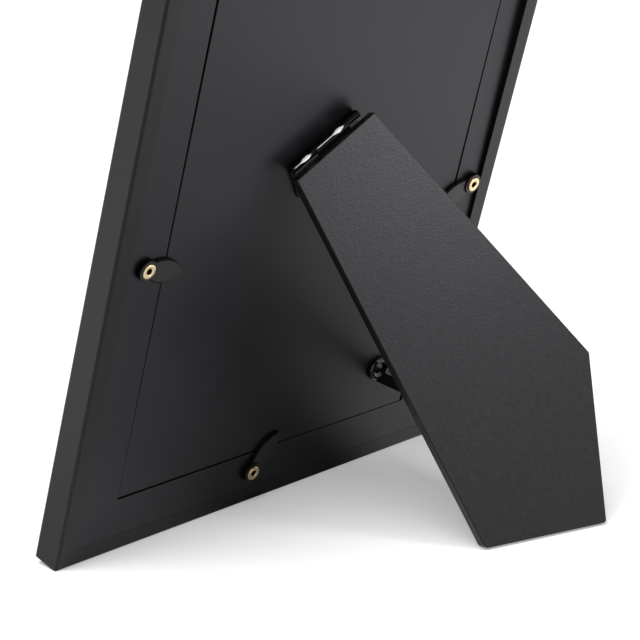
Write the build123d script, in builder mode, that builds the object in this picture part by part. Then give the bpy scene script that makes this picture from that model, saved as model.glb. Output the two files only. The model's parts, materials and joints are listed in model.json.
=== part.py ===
from build123d import *
import os
from math import atan, cos, degrees, radians, sin, tan

# Easel back photo frame. The picture side faces -Y and the back faces +Y, and the frame leans back
# on its folding leg. Left, right and all turns are as seen from behind. Millimetres and degrees.
# The origin is on the table, under the middle of the standing frame's bounding box.

# Picture stack: glass, print, then the back ring and the door, which are cut from one sheet
photo_width = 152.4
photo_height = 203.2
photo_play = 0.5
glass_cut = 0.4
glass_thickness = 2.0
print_thickness = 0.4
sheet_thickness = 3.0
strip_width = 16.1
ring_clearance = 0.05
opening_play = 0.8
opening_shift_x = 2.7
opening_shift_y = 0.6
opening_turn = 0.3
door_clearance = 0.75
door_slip_width = 0.15
door_turn = 0.3
sheet_arris_width = 0.12

# Outer frame of four mitred rails, leaning back; the sheet is sunk deeper at its head than at its foot
frame_lean = 16.3
rail_depth = 12.4
rim_width = 7.2
lip_width = 5.7
foot_recess_depth = 0.05
head_recess_depth = 3.0
back_arris_radius = 1.2
front_arris_radius = 1.2
lip_arris_radius = 0.8

# Corner nails that hold the mitres, driven in under the back ring
nail_inset = 14.5
nail_length = 6.5
nail_thickness = 0.6
nail_cover_thickness = 1.9

# Turn buttons, each on a hollow brass rivet through the ring
left_button_inset = 16.3
right_button_inset = 11.9
end_button_inset = 15.4
left_button_height = 125.0
right_button_height = 121.8
bottom_button_offset = -4.8
top_button_offset = 1.5
left_leaf_turn = -15.5
right_leaf_turn = 20.0
bottom_leaf_turn = -37.0
top_leaf_turn = 6.0
hub_radius = 4.2
hub_height = 2.1
hub_bevel_width = 0.25
neck_half_width = 3.6
neck_length = 3.0
leaf_half_width = 4.8
leaf_widest_length = 8.6
leaf_length = 19.4
leaf_tip_radius = 1.6
leaf_thickness = 1.5
leaf_bevel_width = 0.5
button_clearance = 0.05
rivet_tube_radius = 1.5
rivet_bore_radius = 1.15
rivet_flange_radius = 2.95
rivet_crest_radius = 2.3
rivet_crest_height = 0.5
rivet_tail_radius = 2.5
rivet_tail_thickness = 0.6
rivet_pocket_clearance = 0.6

# Hinge between the door and the leg, set on a slant
hinge_side_inset = 84.9
hinge_rise_height = 136.2
hinge_turn = 31.0
barrel_radius = 1.7
barrel_clearance = 0.3
pin_radius = 0.9
pin_clearance = 0.05
pin_overhang_length = 0.4
pin_chamfer_width = 0.3
hinge_width = 34.0
left_knuckle_length = 11.5
right_knuckle_length = 6.0
knuckle_gap = 0.2
knuckle_relief_width = 0.4
plate_thickness = 0.8
plate_length = 17.0
plate_corner_radius = 2.0
rivet_span_width = 22.0
rivet_drop_length = 11.0
rivet_head_radius = 2.4
rivet_head_height = 0.8
rivet_shank_radius = 1.2
rivet_depth = 3.2

# Folding leg, with a square foot that stands the frame upright or on its side
leg_open_angle = 33.7
leg_thickness = 4.5
leg_top_width = 40.0
leg_top_gap = 2.0
leg_flare_angle = 8.0
leg_tip_offset = 4.5
leg_heel_radius = 2.4
leg_tip_radius = 1.2
leg_side_radius = 1.0
leg_arris_width = 0.3

# Stay ribbon, riveted to the door under a dished cap and tacked to the leg
stay_offset = -4.9
stay_rise_height = 21.2
ribbon_width = 5.0
ribbon_thickness = 0.5
ribbon_tail_length = 5.0
ribbon_bend_radius = 0.4
ribbon_clearance = 0.9
cap_radius = 5.2
cap_edge_height = 0.7
cap_crest_radius = 3.7
cap_crest_width = 0.8
cap_height = 1.7
cap_dish_radius = 2.2
cap_dish_height = 0.6
cap_shank_radius = 1.6
head_flat_share = 0.6
tack_head_radius = 3.0
tack_head_height = 0.6
tack_shank_radius = 1.0
tack_depth = 3.2
shank_clearance = 0.05
clinch_radius = 2.6
clinch_thickness = 0.5
clinch_clearance = 0.2

os.makedirs("parts", exist_ok=True)


def keep(piece, name):
    """Label a finished piece and write it to its own file."""
    piece.part.label = name
    export_step(piece.part, f"parts/{name}.step")


# Working planes. back lies on the rim's rear faces, with x to the right, y up the frame and z out of
# the back. panel lies on the sheet's rear face, which is sunk further at the head than at the foot.
# hinge and leg share the hinge axis as x: hinge is parallel to the panel, leg to the opened leg.
pocket_width = photo_width + 2 * photo_play
pocket_height = photo_height + 2 * photo_play
opening_width = photo_width + 2 * opening_play
opening_height = photo_height + 2 * opening_play
seat_width = pocket_width + 2 * strip_width
sheet_length = pocket_height + 2 * strip_width
frame_width = seat_width + 2 * rim_width
frame_height = sheet_length + 2 * rim_width
rail_width = rim_width + strip_width + lip_width
slant = degrees(atan((head_recess_depth - foot_recess_depth) / sheet_length))
seat_length = sheet_length / cos(radians(slant))
sheet_middle = (0, seat_length / 2)
opening_middle = (opening_shift_x, seat_length / 2 + opening_shift_y)
opening_side = opening_middle[0] + opening_width / 2
opening_foot = opening_middle[1] - opening_height / 2
hinge_stand = barrel_radius + barrel_clearance
stand_height = back_arris_radius * (1 - cos(radians(frame_lean)) - sin(radians(frame_lean)))


def turned(plane, angle, height=0.0, offset_x=0.0, offset_y=0.0):
    """A plane parallel to another, set at a local place and turned about its own normal."""
    turn = radians(angle)
    return Plane(
        plane.from_local_coords((offset_x, offset_y, height)),
        x_dir=plane.x_dir * cos(turn) + plane.y_dir * sin(turn),
        z_dir=plane.z_dir,
    )


def tipped(plane, angle):
    """A plane that shares another's origin and x, with its normal leaned towards the other's y."""
    turn = radians(angle)
    return Plane(plane.origin, x_dir=plane.x_dir, z_dir=plane.z_dir * cos(turn) + plane.y_dir * sin(turn))


def section_of(plane):
    """The plane through a plane's x and its normal, for turned profiles."""
    return Plane(plane.origin, x_dir=plane.x_dir, z_dir=-plane.y_dir)


def working_planes(back_y):
    lean = radians(frame_lean)
    rear = Plane((0, back_y, stand_height), x_dir=(-1, 0, 0), z_dir=(0, cos(lean), -sin(lean)))
    sheet = tipped(turned(rear, 0, -foot_recess_depth, 0, rim_width), slant)
    hinge_place = (opening_side - hinge_side_inset, opening_foot + hinge_rise_height)
    pivot = turned(sheet, hinge_turn, hinge_stand, *hinge_place)
    return rear, sheet, pivot, tipped(pivot, leg_open_angle)


# Where the leg's inner face meets the table: distance from the hinge axis at each place across the leg.
leg_trial = working_planes(0)[3]


def floor_reach(across):
    start = leg_trial.from_local_coords((across, 0, hinge_stand))
    return start.Z / leg_trial.y_dir.Z


foot_slope = floor_reach(1) - floor_reach(0)
flare = tan(radians(leg_flare_angle))
leg_half = leg_top_width / 2
leg_tip = (leg_tip_offset, floor_reach(leg_tip_offset))
heel_across = -(leg_half + (floor_reach(0) - leg_top_gap) * flare) / (1 + foot_slope * flare)
leg_heel = (heel_across, floor_reach(heel_across))
side_start = leg_tip[1] + leg_tip_offset / foot_slope
side_across = (leg_half + (side_start - leg_top_gap) * flare) / (1 + flare / foot_slope)
leg_side = (side_across, side_start - side_across / foot_slope)

# The frame's front foot edge and the leg's tip are the foremost and rearmost points.
lean_turn = radians(frame_lean)
front_round = front_arris_radius * (sin(lean_turn) - 1)
front_y = front_round - (rail_depth - front_arris_radius) * cos(lean_turn)
rear_y = leg_trial.from_local_coords((leg_tip[0], -leg_tip[1], hinge_stand + leg_thickness)).Y
back, panel, hinge, leg = working_planes(-(front_y + rear_y) / 2)
door_face = hinge.offset(-hinge_stand)
leg_inside = leg.offset(hinge_stand)

# Sizes that follow from the ones above
door_width = opening_width - 2 * door_clearance
door_height = opening_height - 2 * door_clearance
door_middle = (opening_middle[0] - door_slip_width, opening_middle[1])
seat = panel.offset(-sheet_thickness)
print_face = panel.offset(-sheet_thickness - print_thickness)
glass_face = print_face.offset(-glass_thickness)
nail_height = rail_depth - head_recess_depth - sheet_thickness - nail_cover_thickness
left_x = left_button_inset - frame_width / 2
right_x = frame_width / 2 - right_button_inset
end_y = end_button_inset - rim_width

# Each button: pivot on the panel, and the way its leaf points, turned from square to its rail
button_places = {
    "left": (left_x, left_button_height - rim_width, left_leaf_turn),
    "right": (right_x, right_button_height - rim_width, 180 + right_leaf_turn),
    "bottom": (bottom_button_offset, end_y, 90 + bottom_leaf_turn),
    "top": (top_button_offset, seat_length - end_y, 270 + top_leaf_turn),
}
button_points = [(x, y) for x, y, _ in button_places.values()]
hinge_rivet_points = [(side * rivet_span_width / 2, -rivet_drop_length) for side in (-1, 1)]
stay_drop = hinge_rise_height - stay_rise_height + stay_offset * sin(radians(hinge_turn))
stay_reach = stay_drop / cos(radians(hinge_turn))
stay_point = (stay_offset, -stay_reach)


def nail_outlines():
    """The four corner nails in plan: an angle whose vertex lies on the mitre."""
    reach_x = frame_width / 2 - nail_inset
    low = nail_inset - rim_width
    high = seat_length - low
    corners = [(-reach_x, low, 0), (reach_x, low, 90), (reach_x, high, 180), (-reach_x, high, 270)]
    for x, y, angle in corners:
        with Locations(Location((x, y, 0), (0, 0, angle))):
            Rectangle(nail_length, nail_thickness, align=(Align.MIN, Align.MIN))
            Rectangle(nail_thickness, nail_length, align=(Align.MIN, Align.MIN))


# Rails: the outer section is drawn square to the rail, mitred, then rebated from the slanting panel.
# The deep rebate takes the glass and print, the shallow one the ring, and pockets the rivet tails.
rail_places = {
    "rail_bottom": (0, 0, 0, frame_width),
    "rail_right": (frame_width / 2, frame_height / 2, 90, frame_height),
    "rail_top": (0, frame_height, 180, frame_width),
    "rail_left": (-frame_width / 2, frame_height / 2, 270, frame_height),
}
for rail_name, (x, y, angle, length) in rail_places.items():
    rail_face = turned(back, angle, 0, x, y)
    rail_section = Plane(rail_face.origin, x_dir=rail_face.y_dir, z_dir=rail_face.x_dir)
    with BuildPart() as rail:
        with BuildSketch(rail_section):
            with Locations((rail_width / 2, -rail_depth / 2)):
                Rectangle(rail_width, rail_depth)
            fillet(vertices().group_by(Axis.X)[0].sort_by(Axis.Y)[-1], back_arris_radius)
            fillet(vertices().group_by(Axis.X)[0].sort_by(Axis.Y)[0], front_arris_radius)
            fillet(vertices().group_by(Axis.X)[-1].sort_by(Axis.Y)[0], lip_arris_radius)
        extrude(amount=length / 2, both=True)
        with BuildSketch(rail_face):
            with BuildLine():
                Polyline(
                    (-length / 2, 0),
                    (length / 2, 0),
                    (length / 2 - rail_width, rail_width),
                    (rail_width - length / 2, rail_width),
                    close=True,
                )
            make_face()
        extrude(amount=2 * rail_depth, both=True, mode=Mode.INTERSECT)
        with BuildSketch(seat):
            with Locations(sheet_middle):
                Rectangle(seat_width, seat_length)
        extrude(amount=rail_depth, mode=Mode.SUBTRACT)
        with BuildSketch(glass_face):
            with Locations(sheet_middle):
                Rectangle(pocket_width, pocket_height)
        extrude(amount=rail_depth, mode=Mode.SUBTRACT)
        with BuildSketch(seat):
            with Locations(*button_points):
                Circle(rivet_tail_radius + rivet_pocket_clearance)
        extrude(amount=-rivet_tail_thickness - rivet_pocket_clearance, mode=Mode.SUBTRACT)
        with BuildSketch(seat):
            nail_outlines()
        extrude(amount=-nail_height, mode=Mode.SUBTRACT)
    keep(rail, rail_name)

with BuildPart() as corner_nails:
    with BuildSketch(seat):
        nail_outlines()
    extrude(amount=-nail_height)
keep(corner_nails, "corner_nails")

with BuildPart() as glass:
    with BuildSketch(glass_face):
        with Locations(sheet_middle):
            Rectangle(photo_width - glass_cut, photo_height - glass_cut)
    extrude(amount=glass_thickness)
keep(glass, "glass")

with BuildPart() as photo_print:
    with BuildSketch(print_face):
        with Locations(sheet_middle):
            Rectangle(photo_width, photo_height)
    extrude(amount=print_thickness)
keep(photo_print, "photo_print")

# Back ring: a thin board glued into the shallow rebate, with the door's opening cut out of it
with BuildPart() as back_ring:
    with BuildSketch(seat):
        with Locations(sheet_middle):
            Rectangle(seat_width - 2 * ring_clearance, seat_length - 2 * ring_clearance)
        with Locations(Location((*opening_middle, 0), (0, 0, -opening_turn))):
            Rectangle(opening_width, opening_height, mode=Mode.SUBTRACT)
        with Locations(*button_points):
            Circle(rivet_tube_radius + shank_clearance, mode=Mode.SUBTRACT)
    extrude(amount=sheet_thickness)
    ring_back = back_ring.faces().sort_by(Axis(panel.origin, panel.z_dir))[-1]
    chamfer(ring_back.inner_wires().sort_by(SortBy.LENGTH)[-1].edges(), sheet_arris_width)
keep(back_ring, "back_ring")

# Door: the cut-out board, lying a little turned in its opening, drilled for the hinge and the stay
with BuildPart() as door_board:
    with BuildSketch(seat):
        with Locations(Location((*door_middle, 0), (0, 0, -opening_turn - door_turn))):
            Rectangle(door_width, door_height)
    extrude(amount=sheet_thickness)
    chamfer(door_board.faces().sort_by(Axis(panel.origin, panel.z_dir))[-1].edges(), sheet_arris_width)
    with BuildSketch(door_face):
        with Locations(*hinge_rivet_points):
            Circle(rivet_shank_radius + shank_clearance)
        with Locations(stay_point):
            Circle(cap_shank_radius + shank_clearance)
    extrude(amount=-sheet_thickness, mode=Mode.SUBTRACT)
    with BuildSketch(door_face.offset(-sheet_thickness)):
        with Locations(*hinge_rivet_points, stay_point):
            Circle(clinch_radius + clinch_clearance)
    extrude(amount=clinch_thickness + clinch_clearance, mode=Mode.SUBTRACT)
keep(door_board, "door_board")

# Turn buttons: a blunt leaf with a bevelled edge, a low round hub and a bore for the rivet
for place, (x, y, leaf_angle) in button_places.items():
    pivot_face = turned(panel, leaf_angle, 0, x, y)
    pivot_axis = Axis(pivot_face.origin, pivot_face.z_dir)
    button_base = pivot_face.offset(button_clearance)
    with BuildPart() as turn_button:
        with BuildSketch(button_base):
            with BuildLine():
                Polyline(
                    (neck_length, -neck_half_width),
                    (0, -neck_half_width),
                    (0, neck_half_width),
                    (neck_length, neck_half_width),
                )
                for edge in (1, -1):
                    ThreePointArc(
                        (neck_length, edge * neck_half_width),
                        (leaf_widest_length, edge * leaf_half_width),
                        (leaf_length, 0),
                    )
            make_face()
            fillet(vertices().sort_by(Axis.X)[-1], leaf_tip_radius)
        extrude(amount=leaf_thickness)
        chamfer(turn_button.faces().sort_by(pivot_axis)[-1].edges(), leaf_bevel_width)
        with BuildSketch(button_base):
            Circle(hub_radius)
        extrude(amount=hub_height)
        chamfer(turn_button.faces().sort_by(pivot_axis)[-1].edges(), hub_bevel_width)
        with BuildSketch(button_base):
            Circle(rivet_tube_radius + button_clearance)
        extrude(amount=hub_height, mode=Mode.SUBTRACT)
    keep(turn_button, f"turn_button_{place}")

    # Its hollow rivet: a tube with a bevelled flange over the hub and a spread tail under the ring
    flange_seat = hub_height + 2 * button_clearance
    with BuildPart() as button_rivet:
        with BuildSketch(section_of(pivot_face)):
            with BuildLine():
                Polyline(
                    (rivet_bore_radius, flange_seat + rivet_crest_height),
                    (rivet_bore_radius, -sheet_thickness - rivet_tail_thickness),
                    (rivet_tail_radius, -sheet_thickness - rivet_tail_thickness),
                    (rivet_tail_radius, -sheet_thickness),
                    (rivet_tube_radius, -sheet_thickness),
                    (rivet_tube_radius, flange_seat),
                    (rivet_flange_radius, flange_seat),
                    (rivet_crest_radius, flange_seat + rivet_crest_height),
                    close=True,
                )
            make_face()
        revolve(axis=pivot_axis)
    keep(button_rivet, f"button_rivet_{place}")


def hinge_leaf(face, side, own_knuckles, cuts):
    """A plate on a face, thickened to one side of it, rolled into knuckles on the hinge axis."""
    with BuildPart() as leaf:
        with BuildSketch(face):
            with Locations((0, -plate_length / 2)):
                Rectangle(hinge_width, plate_length)
            fillet(vertices().group_by(Axis.Y)[0], plate_corner_radius)
            for start, end in cuts:
                with Locations(((start + end) / 2, 0)):
                    Rectangle(end - start, 2 * (hinge_stand + knuckle_relief_width), mode=Mode.SUBTRACT)
            with Locations(*hinge_rivet_points):
                Circle(rivet_shank_radius + shank_clearance, mode=Mode.SUBTRACT)
        extrude(amount=side * plate_thickness)
        for start, end in own_knuckles:
            with BuildSketch(Plane(hinge.from_local_coords((start, 0, 0)), z_dir=hinge.x_dir)):
                Circle(barrel_radius)
            extrude(amount=end - start)
        with BuildSketch(Plane(hinge.from_local_coords((-hinge_width / 2, 0, 0)), z_dir=hinge.x_dir)):
            Circle(pin_radius + pin_clearance)
        extrude(amount=hinge_width, mode=Mode.SUBTRACT)
    return leaf


hinge_end = hinge_width / 2
knuckle_left = left_knuckle_length - hinge_end
knuckle_right = hinge_end - right_knuckle_length
outer_knuckles = [(-hinge_end, knuckle_left), (knuckle_right, hinge_end)]
middle_knuckle = [(knuckle_left + knuckle_gap, knuckle_right - knuckle_gap)]
middle_cut = [(knuckle_left, knuckle_right)]
outer_cuts = [(-hinge_end, middle_knuckle[0][0]), (middle_knuckle[0][1], hinge_end)]
keep(hinge_leaf(door_face, 1, outer_knuckles, middle_cut), "hinge_door_leaf")
keep(hinge_leaf(leg_inside, -1, middle_knuckle, outer_cuts), "hinge_leg_leaf")

pin_end = hinge_end + pin_overhang_length
with BuildPart() as hinge_pin:
    with BuildSketch(Plane(hinge.from_local_coords((-pin_end, 0, 0)), z_dir=hinge.x_dir)):
        Circle(pin_radius)
    extrude(amount=2 * pin_end)
    chamfer(hinge_pin.edges().filter_by(GeomType.CIRCLE), pin_chamfer_width)
keep(hinge_pin, "hinge_pin")


def crowned_head(face, base, crown, radius):
    """A low head with a bevelled crown, turned about a face's normal and standing on a given height."""
    with BuildSketch(section_of(face)) as profile:
        with BuildLine():
            Polyline(
                (0, base),
                (radius, base),
                (radius * head_flat_share, base + crown),
                (0, base + crown),
                close=True,
            )
        make_face()
    revolve(profile.sketch, axis=Axis(face.origin, face.z_dir))


def shank(face, start, end, radius):
    """A round shank along a face's normal, from one height to another."""
    with BuildSketch(face.offset(start)) as disc:
        Circle(radius)
    extrude(disc.sketch, amount=end - start)


def clinched_shank(face, top, radius):
    """A shank through the door, spread into a sunk seat on the door's front."""
    clinch = clinch_clearance - sheet_thickness
    shank(face, clinch, top, radius)
    shank(face, clinch, clinch + clinch_thickness, clinch_radius)


with BuildPart() as hinge_door_rivets:
    for x, y in hinge_rivet_points:
        rivet_face = turned(door_face, 0, 0, x, y)
        crowned_head(rivet_face, plate_thickness, rivet_head_height, rivet_head_radius)
        clinched_shank(rivet_face, plate_thickness, rivet_shank_radius)
keep(hinge_door_rivets, "hinge_door_rivets")

# Fasteners in the leg look at the door, so their faces are the leg's inner face turned over
leg_under = Plane(leg_inside.origin, x_dir=leg_inside.x_dir, z_dir=-leg_inside.z_dir)

with BuildPart() as hinge_leg_tacks:
    for x, y in hinge_rivet_points:
        tack_face = turned(leg_under, 0, 0, x, -y)
        crowned_head(tack_face, plate_thickness, rivet_head_height, rivet_head_radius)
        shank(tack_face, -rivet_depth, plate_thickness, rivet_shank_radius)
keep(hinge_leg_tacks, "hinge_leg_tacks")

# Leg: flared board with a square foot, one edge of which stands on the table
with BuildPart() as easel_leg:
    with BuildSketch(leg_inside):
        with BuildLine():
            Polyline(
                (-leg_half, -leg_top_gap),
                (leg_half, -leg_top_gap),
                (leg_side[0], -leg_side[1]),
                (leg_tip[0], -leg_tip[1]),
                (leg_heel[0], -leg_heel[1]),
                close=True,
            )
        make_face()
        fillet(vertices().sort_by_distance((leg_side[0], -leg_side[1]))[0], leg_side_radius)
        fillet(vertices().sort_by_distance((leg_tip[0], -leg_tip[1]))[0], leg_tip_radius)
        fillet(vertices().sort_by_distance((leg_heel[0], -leg_heel[1]))[0], leg_heel_radius)
    extrude(amount=leg_thickness)
    chamfer(easel_leg.faces().sort_by(Axis(leg.origin, leg.z_dir))[-1].edges(), leg_arris_width)
    with BuildSketch(leg_inside):
        with Locations(*hinge_rivet_points):
            Circle(rivet_shank_radius + shank_clearance)
    extrude(amount=rivet_depth, mode=Mode.SUBTRACT)
    with BuildSketch(leg_inside):
        with Locations(stay_point):
            Circle(tack_shank_radius + shank_clearance)
    extrude(amount=tack_depth, mode=Mode.SUBTRACT)
keep(easel_leg, "easel_leg")

# Stay cap: a rolled rim around a dished middle, over the ribbon's end on the door
cap_face = turned(door_face, 0, 0, *stay_point)
with BuildPart() as stay_cap:
    with BuildSketch(section_of(cap_face)):
        with BuildLine():
            Polyline(
                (0, ribbon_thickness),
                (cap_radius, ribbon_thickness),
                (cap_radius, ribbon_thickness + cap_edge_height),
                (cap_crest_radius + cap_crest_width, ribbon_thickness + cap_height),
                (cap_crest_radius, ribbon_thickness + cap_height),
                (cap_dish_radius, ribbon_thickness + cap_dish_height),
                (0, ribbon_thickness + cap_dish_height),
                close=True,
            )
        make_face()
    revolve(axis=Axis(cap_face.origin, cap_face.z_dir))
    clinched_shank(cap_face, ribbon_thickness, cap_shank_radius)
keep(stay_cap, "stay_cap")

tack_face = turned(leg_under, 0, 0, stay_offset, stay_reach)
with BuildPart() as stay_tack:
    crowned_head(tack_face, ribbon_thickness, tack_head_height, tack_head_radius)
    shank(tack_face, -tack_depth, ribbon_thickness, tack_shank_radius)
keep(stay_tack, "stay_tack")

# Stay ribbon: flat on the door under the cap, across the opening, and flat on the leg under the tack.
# It is drawn in the plane square to the hinge, and its two ends mirror each other.
stay_section = Plane(
    hinge.from_local_coords((stay_offset, 0, 0)), x_dir=-hinge.y_dir, z_dir=-hinge.x_dir
)
mid_height = hinge_stand - ribbon_thickness / 2
tab_end = stay_reach - ribbon_tail_length
tab_bend = stay_reach + cap_radius + ribbon_clearance
open_turn = radians(leg_open_angle)


def on_leg(reach):
    """The ribbon's middle on the leg, at a distance from the hinge axis."""
    across = reach * cos(open_turn) - mid_height * sin(open_turn)
    return (across, reach * sin(open_turn) + mid_height * cos(open_turn))


with BuildPart() as stay_ribbon:
    with BuildSketch(stay_section):
        with BuildLine():
            FilletPolyline(
                (tab_end, -mid_height),
                (tab_bend, -mid_height),
                on_leg(tab_bend),
                on_leg(tab_end),
                radius=ribbon_bend_radius,
            )
        trace(line_width=ribbon_thickness)
    extrude(amount=ribbon_width / 2, both=True)
    with BuildSketch(door_face):
        with Locations(stay_point):
            Circle(cap_shank_radius + shank_clearance)
    extrude(amount=2 * ribbon_thickness, mode=Mode.SUBTRACT)
    with BuildSketch(leg_inside):
        with Locations(stay_point):
            Circle(tack_shank_radius + shank_clearance)
    extrude(amount=-2 * ribbon_thickness, mode=Mode.SUBTRACT)
keep(stay_ribbon, "stay_ribbon")
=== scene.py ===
import json
import math

import bmesh
import bpy
from mathutils import Matrix, Vector


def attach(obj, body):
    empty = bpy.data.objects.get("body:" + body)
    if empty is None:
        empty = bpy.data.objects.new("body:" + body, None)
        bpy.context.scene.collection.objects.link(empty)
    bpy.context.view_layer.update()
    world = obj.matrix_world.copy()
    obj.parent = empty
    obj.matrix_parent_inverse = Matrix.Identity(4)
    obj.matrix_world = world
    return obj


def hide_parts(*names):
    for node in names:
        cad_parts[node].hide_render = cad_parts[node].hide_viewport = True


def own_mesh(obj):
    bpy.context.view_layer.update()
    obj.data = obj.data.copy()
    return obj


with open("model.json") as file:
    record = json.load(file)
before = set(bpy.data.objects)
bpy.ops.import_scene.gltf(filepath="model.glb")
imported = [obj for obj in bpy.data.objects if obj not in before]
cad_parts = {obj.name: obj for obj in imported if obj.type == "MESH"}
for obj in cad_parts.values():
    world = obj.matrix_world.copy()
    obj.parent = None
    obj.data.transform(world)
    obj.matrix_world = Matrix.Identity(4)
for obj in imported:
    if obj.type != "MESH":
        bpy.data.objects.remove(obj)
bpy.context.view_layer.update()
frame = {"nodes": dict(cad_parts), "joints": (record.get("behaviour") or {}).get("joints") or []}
nodes = frame["nodes"]
joints = {joint["name"]: joint for joint in frame["joints"]}

# Places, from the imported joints
fold = joints["leg_fold"]
hinge_point = Vector(fold["pos_m"])
hinge_line = Vector(fold["axis"]).normalized()
board_out = Vector(joints["button_left_turn"]["axis"]).normalized()
board_down = hinge_line.cross(board_out).normalized()
open_angle = math.radians(fold["range_deg"][1])
leg_down = board_down * math.cos(open_angle) + board_out * math.sin(open_angle)
leg_out = board_out * math.cos(open_angle) - board_down * math.sin(open_angle)
button_sides = ("left", "right", "bottom", "top")
button_seats = [Vector(joints[f"button_{side}_turn"]["pos_m"]) for side in button_sides]

# Sizes shared with the CAD, in metres
frame_lean = math.radians(16.3)
rail_up = Vector((0, math.sin(frame_lean), math.cos(frame_lean)))
hinge_stand = 0.002
stay_side = -0.0049
stay_reach = 0.13122
hinge_rivet_side = 0.011
hinge_rivet_reach = 0.011
ribbon_width = 0.005
ribbon_thickness = 0.0005

# Sizes of the drawn pieces and marks alone
rib_pitch = 0.00058
rib_height = 0.00004
thread_pitch = 0.00032
# Painted highlights on the hinge: metal streaks at this angle round the barrel, this wide, widening near one
# end of each knuckle's span
highlight_angle = math.radians(50)
highlight_side = board_out * math.sin(highlight_angle) + board_down * math.cos(highlight_angle)
streak_width = 0.0002
swell_width = 0.0009
swell_run = 0.0036
fade_run = 0.0012
knuckle_highlights = ((-0.0168, -0.0102, -0.0072), (-0.0052, 0.0064, 0.0096))
head_sides = 64
head_crease = math.radians(40)


def on_board(side, reach, height=0.0):
    """A point over the board, from its place along the hinge, its distance below it and its height."""
    return hinge_point + hinge_line * side + board_down * reach + board_out * (height - hinge_stand)


def on_leg(side, reach, height=0.0):
    """A point over the leg's inner face, from the same three measures."""
    return hinge_point + hinge_line * side + leg_down * reach + leg_out * (hinge_stand - height)


# Node trees
class Wire:
    """A socket of a node tree. Sums on it add Math nodes."""

    def __init__(self, graph, socket):
        self.graph, self.socket = graph, socket

    def math(self, operation, *others):
        return self.graph.node("ShaderNodeMath", dict(enumerate((self, *others))), operation=operation)

    def __add__(self, other):
        return self.math("ADD", other)

    def __sub__(self, other):
        return self.math("SUBTRACT", other)

    def __rsub__(self, other):
        return self.graph.node("ShaderNodeMath", {0: other, 1: self}, operation="SUBTRACT")

    def __mul__(self, other):
        return self.math("MULTIPLY", other)

    def __truediv__(self, other):
        return self.math("DIVIDE", other)

    __radd__, __rmul__ = __add__, __mul__


class Graph:
    """One node tree, and the method that adds any node to it."""

    def __init__(self, tree):
        self.tree = tree
        tree.nodes.clear()

    def node(self, kind, sockets=None, out=0, **settings):
        made = self.tree.nodes.new(kind)
        for name, value in settings.items():
            setattr(made, name, value)
        for name, value in (sockets or {}).items():
            if isinstance(value, Wire):
                self.tree.links.new(value.socket, made.inputs[name])
            else:
                made.inputs[name].default_value = value
        return Wire(self, made.outputs[out]) if len(made.outputs) else made


class Finish(Graph):
    """A procedural material."""

    def __init__(self, name):
        self.material = bpy.data.materials.new(name)
        self.material.use_nodes = True
        super().__init__(self.material.node_tree)

    def place(self, across=(1, 0, 0), along=(0, 0, 1), sizes=(1, 1, 1)):
        """Object coordinates turned to a piece's own across and along, and counted in sizes in metres."""
        z = Vector(along).normalized()
        x = (Vector(across) - z * Vector(across).dot(z)).normalized()
        turn = Matrix((x, z.cross(x), z)).transposed().to_euler()
        here = self.node("ShaderNodeTexCoord", out="Object")
        return self.node("ShaderNodeMapping", {"Vector": here, "Rotation": turn, "Scale": sizes},
                         vector_type="TEXTURE")

    def noise(self, place, detail=2.0, rough=0.5, scale=1.0):
        return self.node("ShaderNodeTexNoise", {"Vector": place, "Scale": scale, "Detail": detail,
                                                "Roughness": rough})

    def between(self, value, low, high):
        """0 below low, 1 above high, and a smooth step from one to the other."""
        return self.node("ShaderNodeMapRange", {"Value": value, "From Min": low, "From Max": high},
                         interpolation_type="SMOOTHSTEP")

    def shade(self, factor, dark, light):
        return self.node("ShaderNodeMix", {0: factor, 6: (*dark, 1), 7: (*light, 1)}, out=2,
                         data_type="RGBA")

    def facing(self, way):
        """1 where the surface looks along a way, 0 where it stands square to it."""
        turned = self.node("ShaderNodeTexCoord", out="Normal")
        return self.node("ShaderNodeVectorMath", {0: turned, 1: way}, out="Value", operation="DOT_PRODUCT")

    def reach(self, point, way):
        """How far a surface lies from a point, along one way."""
        here = self.node("ShaderNodeTexCoord", out="Object")
        away = self.node("ShaderNodeVectorMath", {0: here, 1: point}, operation="SUBTRACT")
        return self.node("ShaderNodeVectorMath", {0: away, 1: way}, out="Value", operation="DOT_PRODUCT")

    def bump(self, height, strength, distance):
        return self.node("ShaderNodeBump", {"Height": height, "Strength": strength, "Distance": distance})

    def finish(self, **sockets):
        values = {name.replace("_", " "): value for name, value in sockets.items()}
        shader = self.node("ShaderNodeBsdfPrincipled", values)
        self.node("ShaderNodeOutputMaterial", {"Surface": shader})
        return self.material


# Finishes
def painted_rail(name, across, along):
    """Black satin paint over close-grained wood, with fine pores along the rail."""
    f = Finish(name)
    pores = f.noise(f.place(across, along, (0.00035, 0.00035, 0.006)), 3, 0.6)
    film = f.noise(f.place(across, along, (0.0009, 0.0009, 0.0016)), 2, 0.5)
    drift = f.noise(f.place(across, along, (0.03, 0.03, 0.09)), 2, 0.5)
    tone = pores * 0.45 + film * 0.25 + drift * 0.3
    colour = f.shade(f.between(tone, 0.3, 0.72), (0.0026, 0.0025, 0.0027), (0.0062, 0.0060, 0.0063))
    return f.finish(Base_Color=colour, Roughness=0.26 + film * 0.10 + pores * 0.06 + drift * 0.06,
                    Specular_IOR_Level=0.26, Normal=f.bump(pores * 0.6 + film * 0.4, 0.2, 0.00012))


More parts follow.
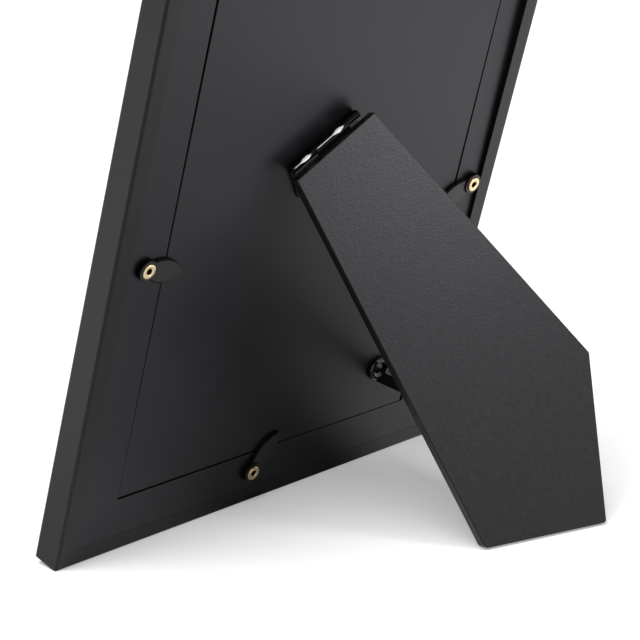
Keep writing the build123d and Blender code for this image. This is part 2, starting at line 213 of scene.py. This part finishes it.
def sprayed_board(name):
    """Thin black-sprayed hardboard: smooth, with a faint cloud in the film and a dry speckle."""
    f = Finish(name)
    here = f.place(along=rail_up)
    cloud = f.noise(here, 3, 0.55, 34)
    haze = f.noise(here, 2, 0.5, 380)
    speck = f.noise(here, 2, 0.6, 2600)
    tone = cloud * 0.55 + speck * 0.25 + haze * 0.2
    colour = f.shade(f.between(tone, 0.32, 0.7), (0.0030, 0.0026, 0.0033), (0.0058, 0.0052, 0.0062))
    return f.finish(Base_Color=colour, Roughness=0.32 + haze * 0.05 + cloud * 0.06,
                    Specular_IOR_Level=0.305, Specular_Tint=(1.0, 0.93, 1.05, 1),
                    Normal=f.bump(speck * 0.6 + haze * 0.4, 0.1, 0.0001))


def mottled_leg(name):
    """The leg's board, sprayed thin over a fibrous face: a pebbled mottle, patches and stray fibres."""
    f = Finish(name)
    pebble = f.noise(f.place(hinge_line, leg_down, (0.0008, 0.0008, 0.0011)), 3, 0.6)
    slanted = f.place(hinge_line + leg_down * 0.5, leg_down - hinge_line * 0.5, (0.0016, 0.0016, 0.0005))
    fibre = f.noise(slanted, 3, 0.6)
    patch = f.noise(f.place(hinge_line, leg_down, (0.0022, 0.0022, 0.003)), 2, 0.5)
    cloud = f.noise(f.place(hinge_line, leg_down, (0.018, 0.018, 0.03)), 3, 0.5)
    tone = pebble * 0.35 + fibre * 0.2 + patch * 0.35 + cloud * 0.1
    colour = f.shade(f.between(tone, 0.32, 0.7), (0.0008, 0.0007, 0.0009), (0.0112, 0.0109, 0.0117))
    square = f.facing(leg_out).math("ABSOLUTE")
    arris = f.between(square, 0.3, 0.6) * (1 - f.between(square, 0.8, 0.97))
    return f.finish(Base_Color=colour,
                    Roughness=0.23 + pebble * 0.12 + fibre * 0.08 + patch * 0.06 + arris * 0.5,
                    Specular_IOR_Level=0.36, Specular_Tint=(1.0, 0.97, 1.03, 1),
                    Normal=f.bump(pebble * 0.55 + fibre * 0.45, 0.65, 0.00018))


def lacquered_steel(name, shine, gloss, highlight_spans=()):
    """Black lacquer on thin steel, with painted highlights: metal streaks with a start, widest place and
    end.
    """
    f = Finish(name)
    orange = f.noise(f.place(), 2, 0.5, 900)
    along = f.reach(hinge_point, hinge_line)
    aside = f.reach(hinge_point, highlight_side).math("ABSOLUTE")
    # Painted highlights: each span lays a bright metal streak where the knuckle's highlight falls, widest
    # near its end
    highlight_mask = 0
    for start, widest, end in highlight_spans:
        swell = f.between(along, widest - swell_run, widest) * (1 - f.between(along, widest, end))
        half_width = swell * swell_width + streak_width
        length = f.between(along, start, start + fade_run) * (1 - f.between(along, end - fade_run, end))
        highlight_mask = (1 - f.between(aside, half_width * 0.4, half_width)) * length + highlight_mask
    colour = f.shade(highlight_mask, (0.0022, 0.0021, 0.0023), (0.56, 0.555, 0.55))
    return f.finish(Base_Color=colour, Roughness=shine + orange * 0.08 + highlight_mask * 0.2, Metallic=highlight_mask,
                    Specular_IOR_Level=gloss, Normal=f.bump(orange, 0.12, 0.00008))


def pressed_button(name):
    """The turn buttons' black coat over punched steel: satin on top, dull on the punched edges."""
    f = Finish(name)
    here = f.place(along=rail_up)
    cloud = f.noise(here, 3, 0.55, 240)
    speck = f.noise(here, 2, 0.6, 2400)
    tone = cloud * 0.6 + speck * 0.4
    colour = f.shade(f.between(tone, 0.32, 0.7), (0.0016, 0.0015, 0.0017), (0.0036, 0.0034, 0.0037))
    top = f.between(f.facing(board_out), 0.8, 0.97)
    return f.finish(Base_Color=colour, Roughness=0.5, Specular_IOR_Level=0.05,
                    Coat_Weight=top * (0.60 + cloud * 0.12), Coat_Roughness=0.34,
                    Normal=f.bump(tone, 0.12, 0.00008))


def rolled_brass(name):
    """Rolled brass with painted light: pale where the lip faces out of the board, brown on its flanks and in
    the hole.
    """
    f = Finish(name)
    here = f.place()
    dull = f.noise(here, 3, 0.55, 520)
    draw = f.noise(here, 2, 0.6, 3800)
    # Painted light: a pale highlight where the brass faces out of the board, painted shade where it turns
    # away, on the flanks and in the hole
    painted_light_mask = f.between(f.facing(board_out) + dull * 0.12, 0.55, 1.0)
    colour = f.shade(painted_light_mask, (0.22, 0.12, 0.028), (0.74, 0.60, 0.37))
    return f.finish(Base_Color=colour, Metallic=1.0, Roughness=0.18 + dull * 0.14,
                    Normal=f.bump(draw, 0.08, 0.00006))


def drawn_steel(name):
    """Plain drawn steel of the corner nails."""
    f = Finish(name)
    draw = f.noise(f.place(), 3, 0.6, 1800)
    colour = f.shade(draw, (0.34, 0.34, 0.35), (0.52, 0.52, 0.53))
    return f.finish(Base_Color=colour, Metallic=1.0, Roughness=0.30 + draw * 0.2,
                    Normal=f.bump(draw, 0.1, 0.00005))


def window_glass(name):
    """Clear picture glass with a trace of green."""
    f = Finish(name)
    smear = f.noise(f.place(), 3, 0.5, 26)
    colour = f.shade(smear, (0.93, 0.965, 0.945), (0.96, 0.98, 0.97))
    return f.finish(Base_Color=colour, Roughness=smear * 0.03, IOR=1.52, Transmission_Weight=1.0)


def blank_print(name):
    """The blank card behind the glass: uncoated stock with a soft tooth."""
    f = Finish(name)
    here = f.place(along=rail_up)
    tooth = f.noise(here, 3, 0.6, 1500)
    cloud = f.noise(here, 2, 0.5, 40)
    colour = f.shade(tooth * 0.5 + cloud * 0.5, (0.74, 0.73, 0.70), (0.82, 0.81, 0.785))
    return f.finish(Base_Color=colour, Roughness=0.62 + tooth * 0.12, Normal=f.bump(tooth, 0.12, 0.00008))


def woven_ribbon(name):
    """Black ribbed ribbon: weft ribs and fine warp threads, from its own run and across."""
    f = Finish(name)
    run = f.node("ShaderNodeAttribute", out="Fac", attribute_name="run")
    across = f.node("ShaderNodeAttribute", out="Fac", attribute_name="across")
    rib = (run * (2 * math.pi / rib_pitch)).math("SINE") * 0.5 + 0.5
    thread = (across * (2 * math.pi / thread_pitch)).math("SINE") * 0.5 + 0.5
    fuzz = f.noise(f.place(), 3, 0.6, 2200)
    tone = rib * 0.45 + thread * 0.25 + fuzz * 0.3
    colour = f.shade(tone, (0.0014, 0.0013, 0.0015), (0.0046, 0.0044, 0.0048))
    return f.finish(Base_Color=colour, Roughness=0.62 + fuzz * 0.2, Specular_IOR_Level=0.12,
                    Sheen_Weight=0.04, Sheen_Roughness=0.4,
                    Normal=f.bump(thread * 0.6 + fuzz * 0.4, 0.3, 0.00006))


finishes = {
    "rail_side": painted_rail("satin_paint_upright", (1, 0, 0), rail_up),
    "rail_end": painted_rail("satin_paint_level", rail_up, (1, 0, 0)),
    "board": sprayed_board("sprayed_board"),
    "leg": mottled_leg("mottled_leg"),
    "hinge": lacquered_steel("hinge_lacquer", 0.10, 0.1, knuckle_highlights),
    "cap": lacquered_steel("cap_lacquer", 0.14, 0.5),
    "button": pressed_button("button_coat"),
    "brass": rolled_brass("rolled_brass"),
    "steel": drawn_steel("drawn_steel"),
    "glass": window_glass("window_glass"),
    "print": blank_print("blank_print"),
    "ribbon": woven_ribbon("woven_ribbon"),
}
wearers = {
    "rail_side": ("rail_left", "rail_right"),
    "rail_end": ("rail_top", "rail_bottom"),
    "board": ("back_ring", "door_board"),
    "leg": ("easel_leg",),
    "hinge": ("hinge_door_leaf", "hinge_leg_leaf", "hinge_pin", "hinge_door_rivets", "hinge_leg_tacks"),
    "cap": ("stay_cap", "stay_tack"),
    "button": [f"turn_button_{side}" for side in button_sides],
    "brass": [f"button_rivet_{side}" for side in button_sides],
    "steel": ("corner_nails",),
    "glass": ("glass",),
    "print": ("photo_print",),
    "ribbon": ("stay_ribbon",),
}
for finish, wearing in wearers.items():
    for name in wearing:
        nodes[name].data.materials.clear()
        nodes[name].data.materials.append(finishes[finish])


# Pieces made by node trees
def piece_tree(name, inputs):
    """An empty geometry tree with named inputs and one geometry output, and its inputs as wires."""
    group = bpy.data.node_groups.new(name, "GeometryNodeTree")
    graph = Graph(group)
    for label, kind in inputs:
        group.interface.new_socket(name=label, in_out="INPUT", socket_type="NodeSocket" + kind)
    group.interface.new_socket(name="Piece", in_out="OUTPUT", socket_type="NodeSocketGeometry")
    entry = group.nodes.new("NodeGroupInput")
    return graph, {socket.name: Wire(graph, socket) for socket in entry.outputs if socket.name}


def woven_strip_tree():
    """A route's corners rounded, a flat strip swept along it, and weft ribs raised on both its faces."""
    g, given = piece_tree("woven_strip", (
        ("Route", "Geometry"), ("Width", "Float"), ("Thickness", "Float"), ("Bend radius", "Float"),
        ("Rib pitch", "Float"), ("Rib height", "Float"), ("Run before", "Float"), ("Across", "Vector"),
        ("Cloth", "Material")))
    rounded = g.node("GeometryNodeFilletCurve", {"Curve": given["Route"], "Count": 8,
                                                 "Radius": given["Bend radius"]}, mode="POLY")
    stepped = g.node("GeometryNodeResampleCurve", {"Curve": rounded, "Length": given["Rib pitch"] / 6},
                     mode="LENGTH")
    level = g.node("GeometryNodeSetCurveNormal", {"Curve": stepped, "Normal": given["Across"]}, mode="FREE")
    run = g.node("GeometryNodeSplineParameter", out="Length") + given["Run before"]
    marked = g.node("GeometryNodeStoreNamedAttribute", {"Geometry": level, "Name": "run", "Value": run},
                    data_type="FLOAT", domain="POINT")
    outline = g.node("GeometryNodeCurvePrimitiveQuadrilateral", {"Width": given["Width"],
                                                                 "Height": given["Thickness"]})
    edged = g.node("GeometryNodeFilletCurve", {"Curve": outline, "Count": 3,
                                               "Radius": given["Thickness"] * 0.4}, mode="POLY")
    side = g.node("ShaderNodeSeparateXYZ", {"Vector": g.node("GeometryNodeInputPosition")}, out="X")
    profile = g.node("GeometryNodeStoreNamedAttribute", {
        "Geometry": edged, "Name": "across", "Value": side}, data_type="FLOAT", domain="POINT")
    strip = g.node("GeometryNodeCurveToMesh", {
        "Curve": marked, "Profile Curve": profile, "Fill Caps": True})
    told = g.node("GeometryNodeInputNamedAttribute", {"Name": "run"}, data_type="FLOAT")
    lift = (told * (2 * math.pi) / given["Rib pitch"]).math("SINE") * given["Rib height"]
    offset = g.node("ShaderNodeVectorMath", {0: g.node("GeometryNodeInputNormal"), "Scale": lift},
                    operation="SCALE")
    ribbed = g.node("GeometryNodeSetPosition", {"Geometry": strip, "Offset": offset})
    smooth = g.node("GeometryNodeSetShadeSmooth", {"Geometry": ribbed, "Shade Smooth": True})
    real = g.node("GeometryNodeRealizeInstances", {"Geometry": smooth})
    dressed = g.node("GeometryNodeSetMaterial", {"Geometry": real, "Material": given["Cloth"]})
    g.node("NodeGroupOutput", {"Piece": dressed})
    return g.tree


def turned_heads_tree():
    """A half section turned about its axis, with one copy on each seat along the seat's facing."""
    g, given = piece_tree("turned_heads", (
        ("Seats", "Geometry"), ("Section", "Object"), ("Sides", "Int"), ("Crease", "Float"),
        ("Metal", "Material")))
    section = g.node("GeometryNodeObjectInfo", {"Object": given["Section"]}, out="Geometry",
                     transform_space="ORIGINAL")
    count = g.node("GeometryNodeAttributeDomainSize", {"Geometry": section}, out="Point Count",
                   component="CURVE")
    grid = g.node("GeometryNodeMeshGrid", {"Size X": 1.0, "Size Y": 1.0, "Vertices X": given["Sides"] + 1,
                                           "Vertices Y": count})
    spot = g.node("GeometryNodeInputPosition")
    turn = (g.node("ShaderNodeSeparateXYZ", {"Vector": spot}, out="X") + 0.5) * (2 * math.pi)
    step = (g.node("ShaderNodeSeparateXYZ", {"Vector": spot}, out="Y") + 0.5) * (count - 1)
    drawn = g.node("GeometryNodeSampleIndex", {
        "Geometry": section, "Value": g.node("GeometryNodeInputPosition"), "Index": step.math("ROUND")},
        data_type="FLOAT_VECTOR")
    radius = g.node("ShaderNodeSeparateXYZ", {"Vector": drawn}, out="X")
    height = g.node("ShaderNodeSeparateXYZ", {"Vector": drawn}, out="Z")
    swung = g.node("ShaderNodeCombineXYZ", {
        "X": radius * turn.math("COSINE"), "Y": radius * turn.math("SINE"), "Z": height})
    shell = g.node("GeometryNodeSetPosition", {"Geometry": grid, "Position": swung})
    closed = g.node("GeometryNodeMergeByDistance", {"Geometry": shell, "Distance": 0.000001})
    sharp = g.node("GeometryNodeInputMeshEdgeAngle").math("GREATER_THAN", given["Crease"])
    creased = g.node("GeometryNodeStoreNamedAttribute", {
        "Geometry": closed, "Name": "sharp_edge", "Value": sharp}, data_type="BOOLEAN", domain="EDGE")
    smooth = g.node("GeometryNodeSetShadeSmooth", {"Geometry": creased, "Shade Smooth": True})
    facing = g.node("GeometryNodeInputNamedAttribute", {"Name": "facing"}, data_type="FLOAT_VECTOR")
    upright = g.node("FunctionNodeAlignRotationToVector", {"Vector": facing}, axis="Z")
    stood = g.node("GeometryNodeInstanceOnPoints", {"Points": given["Seats"], "Instance": smooth,
                                                    "Rotation": upright})
    real = g.node("GeometryNodeRealizeInstances", {"Geometry": stood})
    dressed = g.node("GeometryNodeSetMaterial", {"Geometry": real, "Material": given["Metal"]})
    g.node("NodeGroupOutput", {"Piece": dressed})
    return g.tree


strip_tree = woven_strip_tree()
heads_tree = turned_heads_tree()


def drawn_line(name, points):
    """A curve object of straight runs."""
    line = bpy.data.curves.new(name, "CURVE")
    line.dimensions = "3D"
    spline = line.splines.new("POLY")
    spline.points.add(len(points) - 1)
    for point, place in zip(spline.points, points):
        point.co = (*place, 1)
    drawn = bpy.data.objects.new(name, line)
    bpy.context.scene.collection.objects.link(drawn)
    return drawn


def plain_piece(name, source, tree, values):
    """The plain mesh that a tree makes of a source object, which goes with its modifier."""
    maker = source.modifiers.new("maker", "NODES")
    maker.node_group = tree
    for socket in tree.interface.items_tree:
        if socket.in_out == "INPUT" and socket.name in values:
            maker[socket.identifier] = values[socket.name]
    source.update_tag()
    bpy.context.view_layer.update()
    ready = source.evaluated_get(bpy.context.evaluated_depsgraph_get())
    mesh = bpy.data.meshes.new_from_object(ready)
    source.modifiers.remove(maker)
    bpy.data.objects.remove(source)
    piece = bpy.data.objects.new(name, mesh)
    bpy.context.scene.collection.objects.link(piece)
    return piece


# Turned heads
def turned_heads(name, section, seats, facing, metal, body, slot, *stands_for):
    """Heads of one section, given as radius and height in millimetres, on their seats on one body."""
    half = [(radius / 1000, 0, height / 1000) for radius, height in section]
    outline = drawn_line(name + "_section", half)
    places = bpy.data.meshes.new(name + "_seats")
    places.from_pydata(seats, [], [])
    ways = places.attributes.new("facing", "FLOAT_VECTOR", "POINT")
    for way in ways.data:
        way.vector = facing
    source = bpy.data.objects.new(name + "_seats", places)
    bpy.context.scene.collection.objects.link(source)
    piece = plain_piece(name, source, heads_tree, {
        "Section": outline, "Sides": head_sides, "Crease": head_crease, "Metal": finishes[metal]})
    bpy.data.objects.remove(outline)
    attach(piece, body)
    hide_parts(*stands_for)


def quarter(radius, base, rise, steps=8):
    """A domed head from its edge up to its middle."""
    turns = [math.pi / 2 * step / steps for step in range(steps + 1)]
    return [(radius * math.cos(turn), base + rise * math.sin(turn)) for turn in turns]


tube = [(1.15, -3.6), (2.5, -3.6), (2.5, -3.0), (1.5, -3.0), (1.5, 2.2)]
roll = [(2.05 + 0.9 * math.cos(math.pi * step / 18), 2.2 + 0.5 * math.sin(math.pi * step / 18) ** 0.75)
        for step in range(19)]
turned_heads("brass_eyelets", [*tube, *roll, tube[0]], button_seats, board_out, "brass", "frame",
             "rivet_brass",
             "button_rivet_left", "button_rivet_right", "button_rivet_bottom", "button_rivet_top")

clinched = [(0, -2.8), (2.6, -2.8), (2.6, -2.3)]
cap_rim = [(4.1 + 1.1 * math.cos(math.pi * step / 20), 0.9 + 1.3 * math.sin(math.pi * step / 20))
           for step in range(11)]
cap_dish = [(4.1 - 2.3 * step / 12, 2.2 - 1.1 * (step / 12) ** 2 * (3 - step / 6))
            for step in range(1, 13)]
cap_shank = [(1.6, -2.3), (1.6, 0.5), (5.2, 0.5)]
cap_middle = [(0.9, 1.06), (0, 1.04)]
turned_heads("dished_cap", [*clinched, *cap_shank, *cap_rim, *cap_dish, *cap_middle],
             [on_board(stay_side, stay_reach)], board_out, "cap", "frame", "cap_black", "stay_cap")

hinge_seats = (-hinge_rivet_side, hinge_rivet_side)
turned_heads("hinge_rivet_domes", [*clinched, (1.2, -2.3), (1.2, 0.8), *quarter(2.4, 0.8, 0.8)],
             [on_board(side, hinge_rivet_reach) for side in hinge_seats], board_out, "hinge", "frame",
             "hinge_black", "hinge_door_rivets")
turned_heads("hinge_tack_domes", [(0, -3.2), (1.2, -3.2), (1.2, 0.8), *quarter(2.4, 0.8, 0.8)],
             [on_leg(side, hinge_rivet_reach) for side in hinge_seats], -leg_out, "hinge", "leg",
             "hinge_black", "hinge_leg_tacks")
turned_heads("stay_tack_dome", [(0, -3.2), (1.0, -3.2), (1.0, 0.5), *quarter(3.0, 0.5, 0.6)],
             [on_leg(stay_side, stay_reach)], -leg_out, "cap", "leg", "cap_black", "stay_tack")

# The blank card, a hair clear of the glass and of the door that touch it in the CAD
card_kept = 0.7
merge_distance = 0.00001
card_mesh = nodes["photo_print"].data.copy()
card_mesh.name = "blank_card"
card_form = bmesh.new()
card_form.from_mesh(card_mesh)
bmesh.ops.remove_doubles(card_form, verts=card_form.verts, dist=merge_distance)
card_middle = sum((corner.co for corner in card_form.verts), Vector()) / len(card_form.verts)
for corner in card_form.verts:
    corner.co -= board_out * (corner.co - card_middle).dot(board_out) * (1 - card_kept)
card_form.to_mesh(card_mesh)
card_form.free()
card = bpy.data.objects.new("blank_card", card_mesh)
bpy.context.scene.collection.objects.link(card)
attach(card, "frame")
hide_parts("photo_print")

# The ribbon stay
tab_end = stay_reach - 0.005
tab_bend = stay_reach + 0.0061
bend_run = 0.0015
bend_radius = 0.0004
fold_clearance = 0.00015


def ribbon_run(name, route, run_before, body):
    """One run of the ribbon along straight route points, on one body."""
    piece = plain_piece(name, drawn_line(name + "_route", route), strip_tree, {
        "Width": ribbon_width, "Thickness": ribbon_thickness - 2 * rib_height, "Bend radius": bend_radius,
        "Rib pitch": rib_pitch, "Rib height": rib_height, "Run before": run_before, "Across": hinge_line,
        "Cloth": finishes["ribbon"]})
    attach(piece, body)
    return piece


board_tab = [on_board(stay_side, reach, ribbon_thickness / 2) for reach in (tab_end, tab_bend)]
leg_tab = [on_leg(stay_side, reach, ribbon_thickness / 2) for reach in (tab_bend, tab_end)]
pull = (leg_tab[0] - board_tab[1]).normalized()
near_board = board_tab[1] + pull * bend_run
near_leg = leg_tab[0] - pull * bend_run
tab_run = tab_bend - tab_end + bend_run
ribbon_run("ribbon_board_end", [*board_tab, near_board], 0, "frame")
span = ribbon_run("ribbon_span", [near_board, near_leg], tab_run, "frame")
ribbon_run("ribbon_leg_end", [near_leg, *leg_tab], tab_run + (near_leg - near_board).length, "leg")
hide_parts("stay_ribbon")
near_height = (near_board - on_board(stay_side, tab_bend)).dot(board_out)
folded_gap = 2 * (hinge_stand - near_height) - fold_clearance
span_rise = (near_leg - near_board).dot(board_out)
folded_gap / span_rise
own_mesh(span)

# Floor, light and camera
floor_mesh = bpy.data.meshes.new("floor")
floor_mesh.from_pydata([(-4, -4, 0), (4, -4, 0), (4, 4, 0), (-4, 4, 0)], [], [(0, 1, 2, 3)])
floor = bpy.data.objects.new("floor", floor_mesh)
bpy.context.scene.collection.objects.link(floor)
paper = Finish("floor_paper")
looked_at = paper.node("ShaderNodeLightPath", out="Is Camera Ray")
through_glass = paper.node("ShaderNodeLightPath", out="Is Transmission Ray")
looked_at = (looked_at + through_glass).math("MINIMUM", 1.0)
mirrored = paper.node("ShaderNodeLightPath", out="Is Glossy Ray")
to_left = paper.reach((0, 0, 0), (1, 0, 0))
to_front = paper.reach((0, 0, 0), (0, -1, 0))
to_right = to_left * -1
# Painted light: in reflections only, the floor glows brighter by the frame's foot, to its right and in front
under_frame = paper.between(to_front, -0.005, 0.03)
right_foot = paper.between(to_right, 0.045, 0.09) * 0.60
left_foot = paper.between(to_left, 0.01, 0.06) * 0.22
foot_light = under_frame * (right_foot + left_foot)
right_light = paper.between(to_right, 0.06, 0.32) * 0.66
front_light = paper.between(to_front, 0.06, 0.25) * 0.5
grain = paper.noise(paper.place(), 2, 0.5, 900)
pale = paper.shade(grain, (0.85, 0.85, 0.85), (0.87, 0.87, 0.87))
matt = paper.node("ShaderNodeBsdfDiffuse", {"Color": pale})
strength = looked_at * 0.315 + mirrored * (foot_light + right_light + front_light)
glow = paper.node("ShaderNodeEmission", {"Color": (1, 1, 1, 1), "Strength": strength})
paper.node("ShaderNodeOutputMaterial", {"Surface": paper.node("ShaderNodeAddShader", {0: matt, 1: glow})})
floor.data.materials.append(paper.material)

world = bpy.data.worlds.new("studio")
world.use_nodes = True
bpy.context.scene.world = world
sky = Graph(world.node_tree)
seen = sky.node("ShaderNodeLightPath", out="Is Camera Ray")
seen = seen + sky.node("ShaderNodeLightPath", out="Is Glossy Ray")
seen = (seen + sky.node("ShaderNodeLightPath", out="Is Transmission Ray")).math("MINIMUM", 1.0)
sky.node("ShaderNodeOutputWorld", {"Surface": sky.node(
    "ShaderNodeBackground", {"Color": (1, 1, 1, 1), "Strength": 0.13 + seen * 0.87})})


def studio_lamp(name, kind, place, target, **settings):
    """A lamp at a place, turned to a target."""
    lamp = bpy.data.lights.new(name, kind)
    for setting, value in settings.items():
        setattr(lamp, setting, value)
    holder = bpy.data.objects.new(name, lamp)
    bpy.context.scene.collection.objects.link(holder)
    holder.location = place
    holder.rotation_euler = (Vector(target) - Vector(place)).to_track_quat("-Z", "Y").to_euler()


studio_lamp("overhead", "SUN", (0.45, 0.05, 1), (0, 0, 0), energy=2.85, angle=math.radians(38))
studio_lamp("side_box", "AREA", (-0.116, 0.335, 0.264), (-0.012, -0.004, 0.163), energy=0.46,
            shape="RECTANGLE", size=0.08, size_y=0.2)

# The camera that the photo's straight edges give: focal length in pixels of a square picture, place and turn
focal_pixels = 2950
picture_pixels = 640
sensor_width = 36
azimuth = math.radians(45.704)
elevation = math.radians(18.424)
roll_angle = math.radians(0.067)
camera_place = (0.745347, 0.712815, 0.429191)
camera_data = bpy.data.cameras.new("camera")
camera_data.sensor_width = sensor_width
camera_data.lens = focal_pixels / picture_pixels * sensor_width
camera_data.clip_start = 0.05
camera_data.clip_end = 50
camera = bpy.data.objects.new("camera", camera_data)
bpy.context.scene.collection.objects.link(camera)
level = Vector((math.sin(azimuth), math.cos(azimuth), 0))
behind = level * math.cos(elevation) + Vector((0, 0, math.sin(elevation)))
level_right = Vector((0, 0, 1)).cross(behind).normalized()
level_up = behind.cross(level_right)
right = level_right * math.cos(roll_angle) + level_up * math.sin(roll_angle)
up = level_up * math.cos(roll_angle) - level_right * math.sin(roll_angle)
stand = Matrix.Translation(camera_place)
camera.matrix_world = stand @ Matrix((right, up, behind)).transposed().to_4x4()
bpy.context.scene.camera = camera
bpy.context.scene.view_settings.view_transform = "Standard"
